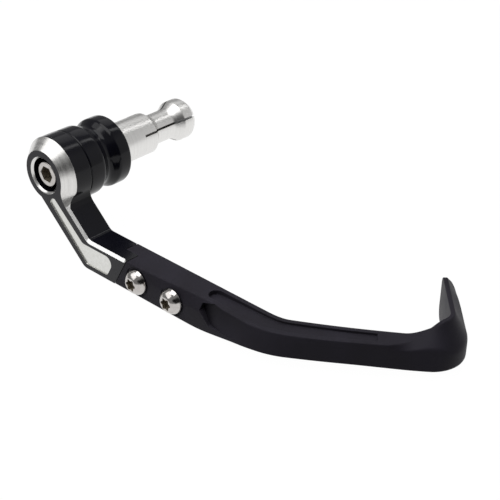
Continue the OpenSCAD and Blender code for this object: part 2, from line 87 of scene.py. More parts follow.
# An sRGB hex value as linear red, green, blue and alpha
def colour(hexValue):
    parts = [int(hexValue[i:i + 2], 16) / 255 for i in (1, 3, 5)]
    return [c / 12.92 if c <= 0.04045 else ((c + 0.055) / 1.055) ** 2.4 for c in parts] + [1.0]


# Adds a node. A setting is one of its properties or the value of an input, and a link names the
# output that feeds an input.
def addNode(tree, kind, settings=None, links=None):
    node = tree.nodes.new(kind)
    for key, value in (settings or {}).items():
        if isinstance(key, str) and key in node.bl_rna.properties:
            setattr(node, key, value)
        else:
            node.inputs[key].default_value = value
    for key, output in (links or {}).items():
        tree.links.new(output, node.inputs[key])
    return node


def newMaterial(name):
    material = bpy.data.materials.new(name)
    material.use_nodes = True
    material.node_tree.nodes.clear()
    return material, material.node_tree


# Object coordinates moved so that a point in mm becomes their zero
def placeFrom(tree, centre):
    coords = addNode(tree, "ShaderNodeTexCoord")
    return addNode(tree, "ShaderNodeMapping", {"Location": [-c * mm for c in centre]},
                   {"Vector": coords.outputs["Object"]}).outputs["Vector"]


# Unit direction that runs round the bolt's axis, for the highlight of turned metal
def roundTheBolt(tree, place):
    across = addNode(tree, "ShaderNodeVectorMath", {"operation": "CROSS_PRODUCT", 0: (1, 0, 0)}, {1: place})
    return addNode(tree, "ShaderNodeVectorMath", {"operation": "NORMALIZE"},
                   {0: across.outputs["Vector"]}).outputs["Vector"]


# Ends a material: a texture moves its colour and its roughness between the two values of each in the look
def finish(material, tree, look, texture, fixed, links=None, share=None):
    used = (0.3, 0.7)  # a noise hardly leaves this part of its range
    paint = addNode(tree, "ShaderNodeValToRGB", {}, {"Fac": texture})
    for stop, place, tone in zip(paint.color_ramp.elements, used, (look["dark"], look["light"])):
        stop.position, stop.color = place, colour(tone)
    base = paint.outputs["Color"]
    # a share, where given, scales the colour down: the nylon uses it for its painted shade in the scoop
    if share:
        base = addNode(tree, "ShaderNodeVectorMath", {"operation": "SCALE"},
                       {0: base, "Scale": share}).outputs["Vector"]
    low, high = look["roughness"]
    rough = addNode(tree, "ShaderNodeMapRange", {
        "From Min": used[0], "From Max": used[1], "To Min": low, "To Max": high}, {"Value": texture})
    surface = addNode(tree, "ShaderNodeBsdfPrincipled", fixed, {
        "Base Color": base, "Roughness": rough.outputs["Result"], **(links or {})})
    addNode(tree, "ShaderNodeOutputMaterial", {}, {"Surface": surface.outputs[0]})
    return material


# Black anodised aluminium: a dyed oxide skin over bead-blasted metal, satin, with a faint grain
anodised = {
    "dark": "#0c0c12",
    "light": "#111119",
    "roughness": (0.14, 0.19),
    "gloss": 0.16,         # dyed oxide scatters, so it mirrors less than clear glass
    "grain": 0.35,         # mm, true grain is near 0.1 mm and too fine to show
    "grainHeight": 0.004,  # mm
}


def anodisedMaterial(look, name="blackAnodisedAluminium"):
    material, tree = newMaterial(name)
    place = placeFrom(tree, (0, 0, 0))
    cloud = addNode(tree, "ShaderNodeTexNoise", {"Scale": 1 / (12 * mm), "Detail": 3.0}, {"Vector": place})
    grain = addNode(tree, "ShaderNodeTexNoise", {"Scale": 1 / (look["grain"] * mm), "Detail": 2.0},
                    {"Vector": place})
    bump = addNode(tree, "ShaderNodeBump", {"Strength": 0.5, "Distance": look["grainHeight"] * mm},
                   {"Height": grain.outputs["Fac"]})
    return finish(material, tree, look, cloud.outputs["Fac"],
                  {"Metallic": 0.0, "IOR": 1.6, "Specular IOR Level": look["gloss"]},
                  {"Normal": bump.outputs["Normal"]})


# Milled flat of the arm, anodised after milling: greyer and flatter than the sides, with the fine sweep
# of the cutter
milledFlat = {
    "dark": "#1b1a1f",
    "light": "#212025",
    "roughness": (0.40, 0.50),
    "gloss": 0.19,
    "sweep": 0.7,          # mm between marks, true feed marks are near 0.2 mm
    "sweepHeight": 0.003,  # mm
}


def milledFlatMaterial(look):
    material, tree = newMaterial("milledBlackAluminium")
    place = placeFrom(tree, (0, 60, -90))
    cloud = addNode(tree, "ShaderNodeTexNoise", {"Scale": 1 / (9 * mm), "Detail": 3.0}, {"Vector": place})
    sweep = addNode(tree, "ShaderNodeTexWave", {
        "wave_type": "RINGS", "rings_direction": "X", "Scale": math.pi / (10 * look["sweep"] * mm),
        "Distortion": 0.6, "Detail": 2.0}, {"Vector": place})
    bump = addNode(tree, "ShaderNodeBump", {"Strength": 0.5, "Distance": look["sweepHeight"] * mm},
                   {"Height": sweep.outputs["Fac"]})
    return finish(material, tree, look, cloud.outputs["Fac"],
                  {"Metallic": 0.0, "IOR": 1.6, "Specular IOR Level": look["gloss"]},
                  {"Normal": bump.outputs["Normal"]})


# Bare turned aluminium: bright, with rings from the lathe tool that stretch the highlight across them
turnedBare = {
    "dark": "#cfcecc",
    "light": "#dddcda",
    "roughness": (0.21, 0.27),
    "ring": 0.3,           # mm between rings, the true feed is near 0.12 mm
    "ringHeight": 0.0002,  # mm
    "stretch": 0.55,
}


def turnedMaterial(look, name="turnedAluminium"):
    material, tree = newMaterial(name)
    place = placeFrom(tree, (0, 0, 0))
    split = addNode(tree, "ShaderNodeSeparateXYZ", {}, {"Vector": place})
    rings = addNode(tree, "ShaderNodeTexWave", {
        "wave_type": "BANDS", "bands_direction": "X", "Scale": math.pi / (10 * look["ring"] * mm),
        "Distortion": 0.8, "Detail": 2.0, "Detail Scale": 3.0}, {"Vector": place})
    # a noise drawn out round the axis: long streaks, narrow across
    reach = addNode(tree, "ShaderNodeVectorMath", {"operation": "LENGTH"},
                    {0: addNode(tree, "ShaderNodeCombineXYZ", {}, {
                        "Y": split.outputs["Y"], "Z": split.outputs["Z"]}).outputs["Vector"]})
    streakPlace = addNode(tree, "ShaderNodeCombineXYZ", {}, {
        "X": split.outputs["X"], "Y": reach.outputs["Value"]})
    streaks = addNode(tree, "ShaderNodeTexNoise", {"Scale": 1 / (0.6 * mm), "Detail": 4.0},
                      {"Vector": streakPlace.outputs["Vector"]})
    bump = addNode(tree, "ShaderNodeBump", {"Strength": 0.6, "Distance": look["ringHeight"] * mm},
                   {"Height": rings.outputs["Fac"]})
    return finish(material, tree, look, streaks.outputs["Fac"], {
        "Metallic": 1.0, "Anisotropic": look["stretch"]}, {
        "Normal": bump.outputs["Normal"], "Tangent": roundTheBolt(tree, place)})


# Bare milled aluminium of the pocket and the thin bevels: bright, with straight cutter marks
milledBare = {
    "dark": "#cfcfcb",
    "light": "#dadad7",
    "roughness": (0.27, 0.33),
    "mark": 0.5,          # mm between marks, the true feed is near 0.15 mm
    "markHeight": 0.004,  # mm
}


def milledBareMaterial(look, name="milledAluminium"):
    material, tree = newMaterial(name)
    place = placeFrom(tree, (0, 0, 0))
    # the cutter ran aslant, between the directions of the two legs
    turned = addNode(tree, "ShaderNodeMapping", {"Rotation": (math.radians(-28), 0, 0)}, {"Vector": place})
    marks = addNode(tree, "ShaderNodeTexWave", {
        "wave_type": "BANDS", "bands_direction": "Y", "Scale": math.pi / (10 * look["mark"] * mm),
        "Distortion": 1.2, "Detail": 2.0}, {"Vector": turned.outputs["Vector"]})
    cloud = addNode(tree, "ShaderNodeTexNoise", {"Scale": 1 / (1.2 * mm), "Detail": 3.0}, {"Vector": place})
    bump = addNode(tree, "ShaderNodeBump", {"Strength": 0.6, "Distance": look["markHeight"] * mm},
                   {"Height": marks.outputs["Fac"]})
    return finish(material, tree, look, cloud.outputs["Fac"], {"Metallic": 1.0},
                  {"Normal": bump.outputs["Normal"]})


# Glass-filled nylon: injection moulded from an eroded mould, so a fine pebble grain and a soft sheen
nylon = {
    "dark": "#28262c",
    "light": "#2f2d35",
    "roughness": (0.44, 0.54),
    "gloss": 0.06,
    "grain": 0.5,         # mm, the true pebble is near 0.15 mm
    "grainHeight": 0.01,  # mm
    "paintedShadeStrength": 0.85,  # how much darker the painted shade makes the deep end of the scoop
}


def nylonMaterial(look):
    material, tree = newMaterial("glassFilledNylon")
    place = placeFrom(tree, (0, 0, 0))
    cloud = addNode(tree, "ShaderNodeTexNoise", {"Scale": 1 / (15 * mm), "Detail": 4.0}, {"Vector": place})
    pebble = addNode(tree, "ShaderNodeTexVoronoi", {
        "feature": "SMOOTH_F1", "Scale": 1 / (look["grain"] * mm)}, {"Vector": place})
    bump = addNode(tree, "ShaderNodeBump", {"Strength": 0.4, "Distance": look["grainHeight"] * mm},
                   {"Height": pebble.outputs["Distance"]})
    # painted shade: the colour is darkened towards the deep end of the scoop, where light hardly reaches
    hollow = addNode(tree, "ShaderNodeAttribute", {"attribute_name": "hollow"})
    left = addNode(tree, "ShaderNodeMath", {"operation": "MULTIPLY_ADD", 1: -look["paintedShadeStrength"], 2: 1.0},
                   {0: hollow.outputs["Fac"]})
    return finish(material, tree, look, cloud.outputs["Fac"],
                  {"Metallic": 0.0, "IOR": 1.53, "Specular IOR Level": look["gloss"]},
                  {"Normal": bump.outputs["Normal"]}, left.outputs["Value"])


# Stainless steel: a tumbled, nearly polished skin with faint blotches
stainless = {
    "dark": "#b2aeab",
    "light": "#c5c2bf",
    "roughness": (0.12, 0.20),
    "blotch": 2.0,  # mm
    "metal": 1.0,
}


def steelMaterial(look, name="stainlessSteel"):
    material, tree = newMaterial(name)
    place = placeFrom(tree, (0, 0, 0))
    blotch = addNode(tree, "ShaderNodeTexNoise", {"Scale": 1 / (look["blotch"] * mm), "Detail": 4.0},
                     {"Vector": place})
    return finish(material, tree, look, blotch.outputs["Fac"], {"Metallic": look["metal"]})


# Forged socket walls: a darker steel, partly black oxide and oil left in the recess of a screw head, partly
# painted shade of the deep recess
socketOxideAndShade = {"dark": "#6f675a", "light": "#958c7c", "roughness": (0.3, 0.4), "blotch": 0.8, "metal": 0.35}

# Zinc plated steel nut: a thin greyish plating, a little duller than stainless
zinc = {"dark": "#a9abae", "light": "#bfc1c3", "roughness": (0.28, 0.4), "blotch": 1.5, "metal": 1.0}

anodisedSkin = anodisedMaterial(anodised)
barrelSkin = anodisedMaterial(dict(anodised, roughness=(0.12, 0.17)), "turnedBlackAluminium")
milledSkin = milledFlatMaterial(milledFlat)
turnedSkin = turnedMaterial(turnedBare)
plugSkin = turnedMaterial(dict(turnedBare, dark="#dddcda", light="#e6e5e3", roughness=(0.30, 0.36),
                               ring=0.4, ringHeight=0.0001, stretch=0.3), "plugAluminium")
pocketSkin = milledBareMaterial(milledBare)
stripSkin = milledBareMaterial(dict(milledBare, roughness=(0.36, 0.42), dark="#f2f2f1", light="#f8f8f7"),
                               "chamferedAluminium")
nylonSkin = nylonMaterial(nylon)
screwSkin = steelMaterial(stainless)
boltSkin = steelMaterial(dict(stainless, roughness=(0.22, 0.3)), "machinedStainlessSteel")
socketOxideAndShadeSkin = steelMaterial(socketOxideAndShade, "oxidisedSocketSteel")
nutSkin = steelMaterial(zinc, "zincPlatedSteel")
print("materials made:", len(bpy.data.materials))


# Mesh helpers


def smoothButSharp(mesh, sharpAngle=32):
    mesh.shade_smooth()
    mesh.set_sharp_from_angle(angle=math.radians(sharpAngle))


def pieceFrom(name, mesh, material=None):
    if material:
        mesh.materials.clear()
        mesh.materials.append(material)
    smoothButSharp(mesh)
    piece = bpy.data.objects.new(name, mesh)
    bpy.context.scene.collection.objects.link(piece)
    return piece


# Makes a mesh of points in mm, with doubles merged and faces turned outwards
def solidMesh(name, points, faces):
    mesh = bpy.data.meshes.new(name)
    mesh.from_pydata([[c * mm for c in p] for p in points], [], faces)
    shell = bmesh.new()
    shell.from_mesh(mesh)
    bmesh.ops.remove_doubles(shell, verts=shell.verts, dist=0.0005 * mm)
    bmesh.ops.dissolve_degenerate(shell, edges=shell.edges, dist=0.0004 * mm)
    bmesh.ops.recalc_face_normals(shell, faces=shell.faces)
    shell.to_mesh(mesh)
    shell.free()
    return mesh


# Softens the corners of a closed outline. Each is (u, v, cut), and the softening starts at cut from it.
def softOutline(corners, steps):
    points = []
    count = len(corners)
    for i, (u, v, cut) in enumerate(corners):
        here = Vector((u, v))
        before = Vector(corners[i - 1][:2]) - here
        after = Vector(corners[(i + 1) % count][:2]) - here
        start = here + before.normalized() * min(cut, 0.48 * before.length)
        end = here + after.normalized() * min(cut, 0.48 * after.length)
        for k in range(steps + 1):
            t = k / steps
            points.append(tuple((1 - t) ** 2 * start + 2 * t * (1 - t) * here + t * t * end))
    return points


# Turns a closed outline of (radius, place along the bolt) about the bolt's axis
def turnedMesh(name, corners, segments=128, steps=4):
    outline = softOutline([c if len(c) == 3 else (c[0], c[1], 0) for c in corners], steps)
    outline = [p for i, p in enumerate(outline) if (Vector(p) - Vector(outline[i - 1])).length > 0.001]
    rows = len(outline)
    points = []
    for k in range(segments):
        angle = 2 * math.pi * k / segments
        points += [(x, r * math.cos(angle), r * math.sin(angle)) for r, x in outline]
    faces = []
    for k in range(segments):
        after = (k + 1) % segments
        for i in range(rows):
            j = (i + 1) % rows
            faces.append((k * rows + i, k * rows + j, after * rows + j, after * rows + i))
    return solidMesh(name, points, faces)


# A solid through rings of points
def loft(name, rings):
    count = len(rings[0])
    points = [p for ring in rings for p in ring]
    faces = [list(range(count - 1, -1, -1)), [(len(rings) - 1) * count + j for j in range(count)]]
    for i in range(len(rings) - 1):
        for j in range(count):
            k = (j + 1) % count
            faces.append((i * count + j, i * count + k, (i + 1) * count + k, (i + 1) * count + j))
    return solidMesh(name, points, faces)


def prism(name, near, far):
    count = len(near)
    faces = [list(range(count)), list(range(2 * count - 1, count - 1, -1))]
    faces += [(i, (i + 1) % count, count + (i + 1) % count, count + i) for i in range(count)]
    return solidMesh(name, near + far, faces)


# A prism over an outline of (forward, up), from one place along the bolt to another
def sidePrism(name, outline, xFrom, xTo):
    return prism(name, *[[(x, -forward, up) for forward, up in outline] for x in (xFrom, xTo)])


# Cuts one mesh out of a piece for good
def cutAway(piece, cutter):
    tool = bpy.data.objects.new("cutter", cutter)
    bpy.context.scene.collection.objects.link(tool)
    cut = piece.modifiers.new("cut", "BOOLEAN")
    cut.object = tool
    cut.operation = "DIFFERENCE"
    cut.solver = "EXACT"
    applyModifiers(piece)
    bpy.data.objects.remove(tool)
    bpy.data.meshes.remove(cutter)


# Replaces a piece's mesh by its evaluated one and drops the modifiers
def applyModifiers(piece):
    bpy.context.view_layer.update()
    evaluated = piece.evaluated_get(bpy.context.evaluated_depsgraph_get())
    mesh = bpy.data.meshes.new_from_object(evaluated)
    old = piece.data
    piece.modifiers.clear()
    piece.data = mesh
    mesh.name = piece.name
    if old.users == 0:
        bpy.data.meshes.remove(old)


# Keeps flat faces flat to the eye, so that only their rounded edges turn
def flattenShading(piece):
    piece.data.shade_smooth()
    piece.modifiers.new("flats", "WEIGHTED_NORMAL").weight = 90
    applyModifiers(piece)


# Rounds a piece's sharp edges a little, so that they catch the light, and those of a seam by more
def softenEdges(piece, width, joinFlats=True, seamWidth=0, isSeam=None):
    shell = bmesh.new()
    shell.from_mesh(piece.data)
    if joinFlats:
        bmesh.ops.dissolve_limit(shell, angle_limit=math.radians(0.4), verts=shell.verts, edges=shell.edges,
                                 delimit={"MATERIAL"})
    if isSeam:
        seam = [edge for edge in shell.edges if all(isSeam(vert.co / mm) for vert in edge.verts)]
        bmesh.ops.bevel(shell, geom=seam, offset=seamWidth * mm, segments=4, profile=0.5, affect="EDGES")
    shell.to_mesh(piece.data)
    shell.free()
    bevel = piece.modifiers.new("edge", "BEVEL")
    bevel.width = width * mm
    bevel.segments = 2
    bevel.limit_method = "ANGLE"
    bevel.angle_limit = math.radians(30)
    flattenShading(piece)


# Ties a finished piece to the frame
def settle(piece, slot, *nodes):
    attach(piece, "root")
    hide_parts(*nodes)
    print("made", piece.name, "with", len(piece.data.polygons), "faces")


# A geometry node tree with named inputs, whose result is real mesh with one material
class NodeRig:
    def __init__(self, name, sizes):
        self.tree = bpy.data.node_groups.new(name, "GeometryNodeTree")
        self.tree.interface.new_socket("Geometry", in_out="INPUT", socket_type="NodeSocketGeometry")
        self.tree.interface.new_socket("Geometry", in_out="OUTPUT", socket_type="NodeSocketGeometry")
        self.ids = {}
        for label, (kind, value) in sizes.items():
            socket = self.tree.interface.new_socket(label, in_out="INPUT", socket_type=kind)
            self.ids[label] = (socket.identifier, value)
        self.inputs = addNode(self.tree, "NodeGroupInput").outputs

    # Ends the tree; faces that carry the mark, an attribute of the mesh, get a finish of their own
    def end(self, geometry, material, mark=None, markMaterial=None):
        painted = addNode(self.tree, "GeometryNodeRealizeInstances", {}, {"Geometry": geometry})
        painted = addNode(self.tree, "GeometryNodeSetMaterial", {"Material": material},
                          {"Geometry": painted.outputs["Geometry"]})
        if mark:
            marked = addNode(self.tree, "GeometryNodeInputNamedAttribute", {
                "data_type": "BOOLEAN", "Name": mark})
            painted = addNode(self.tree, "GeometryNodeSetMaterial", {"Material": markMaterial}, {
                "Geometry": painted.outputs["Geometry"], "Selection": marked.outputs["Attribute"]})
        addNode(self.tree, "NodeGroupOutput", {}, {"Geometry": painted.outputs["Geometry"]})

    def run(self, piece):
        modifier = piece.modifiers.new(self.tree.name, "NODES")
        modifier.node_group = self.tree
        for identifier, value in self.ids.values():
            modifier[identifier] = value
        applyModifiers(piece)
        bpy.data.node_groups.remove(self.tree)


# Sizes the pieces share, in mm, as the part's source has them
hub = {
    "radius": 13.9,
    "inner": -20.5,      # where the hub meets the barrel
    "outer": -32.5,      # the outer face
    "bevel": 4.4,
    "bore": 7,           # radius past which the bright hollow is the pocket
    "pocketDeep": 1.6,
    "pocketShown": 0.4,  # the photo shows its floor nearer the face
    "edgeSoft": 0.18,
    "seamSoft": 0.55,
}


# Arm: the CAD arm's own faces, merged, softened and given a finish face by face
def makeArm(size):
    mesh = frame["nodes"]["arm"].data.copy()
    shell = bmesh.new()
    shell.from_mesh(mesh)
    near = 0.002 * mm
    bmesh.ops.remove_doubles(shell, verts=shell.verts, dist=near)
    bmesh.ops.dissolve_degenerate(shell, edges=shell.edges, dist=near)
    shell.to_mesh(mesh)
    shell.free()
    mesh.name = "armBody"
    mesh.materials.clear()
    skins = (anodisedSkin, milledSkin, turnedSkin, pocketSkin, stripSkin)
    for skin in skins:
        mesh.materials.append(skin)
    facingOut, facingAside = -0.98, -0.3  # a face's direction along the bolt: bevels lie between the two
    floor = set()
    for face in mesh.polygons:
        centre = face.center / mm
        slant = face.normal.x
        reach = math.hypot(centre.y, centre.z)
        depth = centre.x - size["outer"]
        deepest = max(mesh.vertices[i].co.x for i in face.vertices) / mm - size["outer"]
        inPocket = deepest < size["pocketDeep"] + 0.05 and reach > size["bore"]
        if slant < facingOut and depth < 0.2:
            face.material_index = skins.index(milledSkin)
        elif inPocket and (depth > size["pocketDeep"] - 0.1 or abs(slant) < -facingAside):
            face.material_index = skins.index(pocketSkin)
            if slant < facingOut:
                floor.update(face.vertices)
        elif facingOut <= slant < facingAside and depth < size["bevel"] + 0.2:
            face.material_index = skins.index(turnedSkin if reach < size["radius"] + 1 else stripSkin)
    for i in floor:
        mesh.vertices[i].co.x -= (size["pocketDeep"] - size["pocketShown"]) * mm
    arm = pieceFrom("armBody", mesh)
    softenEdges(arm, size["edgeSoft"], seamWidth=size["seamSoft"], isSeam=lambda place: (
        abs(place.x - size["inner"]) < 0.01 and math.hypot(place.y, place.z) > size["radius"] - 0.1))
    return arm


arm = makeArm(hub)
settle(arm, "arm_anodised", "arm")


# Blade: a moulded bar whose section changes along its way round the lever's tip
blade = {
    "jointForward": 41.2, "jointLean": 28.5, "lip": 6.5,
    "thick": (12, 10, 7.7, 6.8),  # at the pad, the middle run's start and end, and past the hook
    "padTop": -18.7, "padLow": -31.1, "height": 9.1,
    # length of each run of its way round, and how far it turns in degrees
    "runs": [(58.5, 0), (33 * math.radians(32.2), 32.2), (48.5, 7.3),
             (13.3 * math.radians(92.5), 92.5), (22.4, 0)],
    "neckIn": 2.3, "neckFrom": 5, "neckLead": 37, "neckHeight": 4.5, "lowFrom": 35,
    "finRise": 6.1, "finDrop": 1.8, "finBand": (7.4, 12), "finEdge": 1.6, "finLead": 9, "finGain": 9.5,
    "dropLead": 30, "tipTaper": 2.0, "tipTurn": (1.8, 2.88), "tipTop": 2, "tipLow": 4,
    "round": 0.5, "crown": (0.55, 0.72), "footSoft": (0.5, 1.4), "ridgeSoft": (0.5, 1.7),  # bar and fin
    "channelSoft": (0.25, 0.3),  # at its top and its floor
    "recessFrom": 39.3, "recessToHook": 18, "recessDeep": (1.7, 1.0), "rims": (2.1, 2.0),
    "scoopFrom": 40.6, "scoopDeep": 2.8, "scoopRun": 44, "under": 2, "paintedShadeRun": 26, "footRun": 20,
    # its upper and lower edge, as (distance past its start, depth below the blade's top)
    "scoopUpper": [(-0.2, 3.9), (0.2, 1.4), (9, -1), (44, -1)],
    "scoopLower": [(-0.2, 3.9), (4.3, 8.3), (44, 8.5)],
    "tongue": (5.4, 8.2, 0.15),   # thickness, height and play
    "screws": (9, 27.1), "spot": (11.4, 0.35), "hole": (6.4, 10.6),
    "seam": 0.3,                  # gap at the joint
}


def ramp(s, low, high):
    t = min(1, max(0, (s - low) / (high - low)))
    return t * t * (3 - 2 * t)


def mix(a, b, t):
    return a + (b - a) * t


# The lengths at which the blade's runs end
def runEnds(size):
    total, ends = 0, []
    for length, _ in size["runs"]:
        total += length
        ends.append(total)
    return ends


# The height of a line through points of (along, height)
def follow(points, along):
    for (a, low), (b, high) in zip(points, points[1:]):
        if along <= b:
            return mix(low, high, max(0, (along - a) / (b - a)))
    return points[-1][1]


# How deep the scoop in the outer face is at distance s
def scoopDepth(size, s):
    return size["scoopDeep"] * (1 - (s - size["scoopFrom"]) / size["scoopRun"])


# How deep it is at its foot, where it fades out much sooner
def scoopFoot(size, s):
    left = min(1, max(0, 1 - (s - size["scoopFrom"]) / size["footRun"]))
    return max(0.02, scoopDepth(size, s) * left ** 3)


# The heights of its upper and lower edge
def scoopEdges(size, along):
    return [size["padTop"] - follow(size[edge], along) for edge in ("scoopUpper", "scoopLower")]


# The blade's section at distance s from the joint, as corners of (outward, up, softening)
def bladeSection(size, s):
    bendFrom, midFrom, hookFrom, tipFrom, end = runEnds(size)
    padGone = bendFrom + 8  # past this nothing of the pad is left
    pad, mid, midEnd, hooked = size["thick"]
    # the top leans in along the pad, to meet the scoop that runs out behind the step
    neck = size["neckIn"] * ramp(s, size["neckFrom"], size["neckFrom"] + size["neckLead"])
    neck = max(0, min(neck, scoopDepth(size, s) - 0.08))
    thick = mix(pad, mix(mid, midEnd, (s - midFrom) / (hookFrom - midFrom)), ramp(s, bendFrom, midFrom))
    thick = mix(thick, hooked, ramp(s, hookFrom, tipFrom))
    fin = ramp(s, hookFrom - size["finLead"], hookFrom + size["finGain"])
    early = size["finLead"] - 2  # the top grows thin this much before the fin rises
    leaning = ramp(s, hookFrom - size["finLead"] - early, hookFrom + size["finGain"] - early)

    def closing(length):
        t = min(1, max(0, (s - end + length) / length))
        return 1 - math.sqrt(max(0, 1 - t * t))

    turn, turnRun = size["tipTurn"]
    tipIn = size["tipTaper"] * max(0, (s - tipFrom) / (end - tipFrom)) + turn * closing(turnRun)
    top = size["padTop"] + size["finRise"] * fin - size["tipTop"] * closing(size["tipTop"])
    foot = size["padTop"] - size["height"]
    low = mix(size["padLow"], foot, ramp(s, size["lowFrom"], padGone))
    low = mix(low, foot - size["finDrop"], ramp(s, hookFrom - size["dropLead"], tipFrom))
    low += size["tipLow"] * closing(size["tipLow"])
    under = top - mix(size["under"], size["neckHeight"], min(1, neck))
    band = mix(*size["finBand"], ramp(s, tipFrom - 4, end - 6))
    ridge = mix(under, min(top - size["under"], low + band), fin)
    lean = tipIn + max(neck, (thick - size["finEdge"] - tipIn) * leaning)
    crown = mix(*size["crown"], leaning)

    # the recess is a channel in the top, drawn in to nothing where there is none
    recessEnd = hookFrom - size["recessToHook"]
    centre = -(lean + thick) / 2
    half = 0.15 * (thick - lean)
    deep = 0
    if size["recessFrom"] - 0.5 < s < recessEnd + 0.5:
        centre = -(thick + neck) / 2 - (size["rims"][0] - size["rims"][1]) / 2
        opening = 1 - (1 - min(1, max(0, (s - size["recessFrom"]) / 3))) ** 2
        half = (thick - sum(size["rims"]) - neck) / 2 * math.sqrt(max(0.01, opening))
        if size["recessFrom"] <= s <= recessEnd:
            deep = mix(*size["recessDeep"], ramp(s, size["recessFrom"], padGone))
    topSoft, floorSoft = size["channelSoft"]
    return [
        (-tipIn, low, mix(*size["footSoft"], fin)), (-tipIn, ridge, mix(*size["ridgeSoft"], fin)),
        (-lean, top, crown), (centre + half, top, topSoft), (centre + half, top - deep, floorSoft),
        (centre - half, top - deep, floorSoft), (centre - half, top, topSoft),
        (-thick, top, crown), (-thick, low, size["round"])]


def bladeStations(size):
    _, _, hookFrom, _, end = runEnds(size)
    recessEnd = hookFrom - size["recessToHook"]
    marks = [-size["lip"] - size["thick"][0]]
    marks += [3 * i for i in range(1, int(size["recessFrom"] / 3))]
    marks += [size["recessFrom"] - 0.02]
    marks += [size["recessFrom"] + 3 * (1 - math.cos(math.radians(a))) for a in range(0, 91, 6)]
    s = size["recessFrom"] + 4
    while s < recessEnd - 1:
        marks.append(s)
        s += 1
    marks += [recessEnd, recessEnd + 0.08]
    s = recessEnd + 1
    while s < end - size["tipTurn"][1]:
        marks.append(s)
        s += 0.8
    marks += [end - size["tipTurn"][1] * (1 - math.sin(math.radians(a))) for a in range(0, 91, 5)]
    return marks


# The blade drawn straight: x runs along it, y outwards and z up
def straightBlade(size):
    return loft("straightBlade", [[(s, q, z) for q, z in softOutline(bladeSection(size, s), 5)]
                                  for s in bladeStations(size)])


# A prism over an outline of (along, up) on the straight blade, from one place outwards to another
def bladePrism(outline, low, high):
    return prism("bladeCutter", *[[(s, level, z) for s, z in outline] for level in (low, high)])


# Points round a circle, or round another shape where the radius depends on the angle
def roundOf(radius, count, s=0, z=0):
    points = []
    for i in range(count):
        angle = 2 * math.pi * i / count
        r = radius(angle) if callable(radius) else radius
        points.append((s + r * math.cos(angle), z + r * math.sin(angle)))
    return points


def makeBlade(size):
    piece = pieceFrom("guardBlade", straightBlade(size), nylonSkin)
    middle = (size["padTop"] + size["padLow"]) / 2
    lean = math.tan(math.radians(size["jointLean"]))
    low, high = size["padLow"] - 1, size["padTop"] + 1
    far, over = -size["lip"] - 40, 2  # where the cutters start, and how far they run past a face
    joint = [(far, low), ((low - middle) * lean + size["seam"], low),
             ((high - middle) * lean + size["seam"], high), (far, high)]
    lip = [(s if s == far else s - size["lip"], z) for s, z in joint]
    back = -size["thick"][0]
    cutAway(piece, bladePrism(joint, back / 2, over))
    cutAway(piece, bladePrism(lip, back - over, over))
    thick, height, play = size["tongue"]
    reach = height / 2 + play
    half = thick / 2 + play
    nose = [(size["screws"][1] + reach * math.sin(a), middle + reach * math.cos(a))
            for a in [math.pi * i / 24 for i in range(25)]]
    cutAway(piece, bladePrism([(far, middle + reach)] + nose + [(far, middle - reach)],
                              back / 2 - half, back / 2 + half))
    for s in size["screws"]:
        for width, deep in (size["spot"], size["hole"]):
            cutAway(piece, bladePrism(roundOf(width / 2, 64, s, middle), -deep, over))
    # the scoop's step slants down and forward, and its floor runs out forward and towards its foot
    rings = []
    count = 60
    for i in range(count + 1):
        along = mix(size["scoopUpper"][0][0] + 0.02, size["scoopRun"], (i / count) ** 1.6)
        s = size["scoopFrom"] + along
        upper, lower = scoopEdges(size, along)
        rings.append([(s, -scoopDepth(size, s), upper), (s, -scoopFoot(size, s), lower),
                      (s, over, lower), (s, over, upper)])
    cutAway(piece, loft("scoopCutter", rings))
    # painted shade for the scoop: darkens the nylon's colour towards its deep end
    markPaintedShade(piece.data, size)
    return piece


# Marks how deep in the scoop each corner of its faces lies, for the shade painted into the nylon's colour
def markPaintedShade(mesh, size):
    hollow = mesh.attributes.new("hollow", "FLOAT", "CORNER")
    for face in mesh.polygons:
        for i in face.loop_indices:
            s, q, z = mesh.vertices[mesh.loops[i].vertex_index].co / mm
            along = s - size["scoopFrom"]
            if -0.3 < along < size["paintedShadeRun"] and face.normal.z < 0.5:
                upper, lower = scoopEdges(size, along)
                depth = mix(scoopFoot(size, s), scoopDepth(size, s), (z - lower) / (upper - lower))
                if abs(q + depth) < 0.03:
                    left = min(1, 1 - along / size["paintedShadeRun"]) ** 1.2
                    hollow.data[i].value = left * max(0, depth / scoopDepth(size, s))


# The blade's way in plan, as a curve to bend it along
def bladePath(size):
    step = 0.25
    s, heading = -size["lip"] - size["thick"][0], 0
    forward, x = size["jointForward"] + s, hub["outer"]
    points = [(x, -forward, 0)]
    for i, (length, turn) in enumerate(size["runs"]):
        length = length - s if i == 0 else length
        count = max(1, round(length / step))
        for _ in range(count):
            half = math.radians(turn) / count / 2
            piece = length / count * (math.sin(half) / half if half else 1)
            heading += half
            forward += piece * math.cos(heading)
            x += piece * math.sin(heading)
            heading += half
            points.append((x, -forward, 0))
    curve = bpy.data.curves.new("bladePath", "CURVE")
    curve.dimensions = "3D"
    line = curve.splines.new("POLY")
    line.points.add(len(points) - 1)
    for point, place in zip(line.points, points):
        point.co = (*[c * mm for c in place], 1)
    path = bpy.data.objects.new("bladePath", curve)
    bpy.context.scene.collection.objects.link(path)
    return path


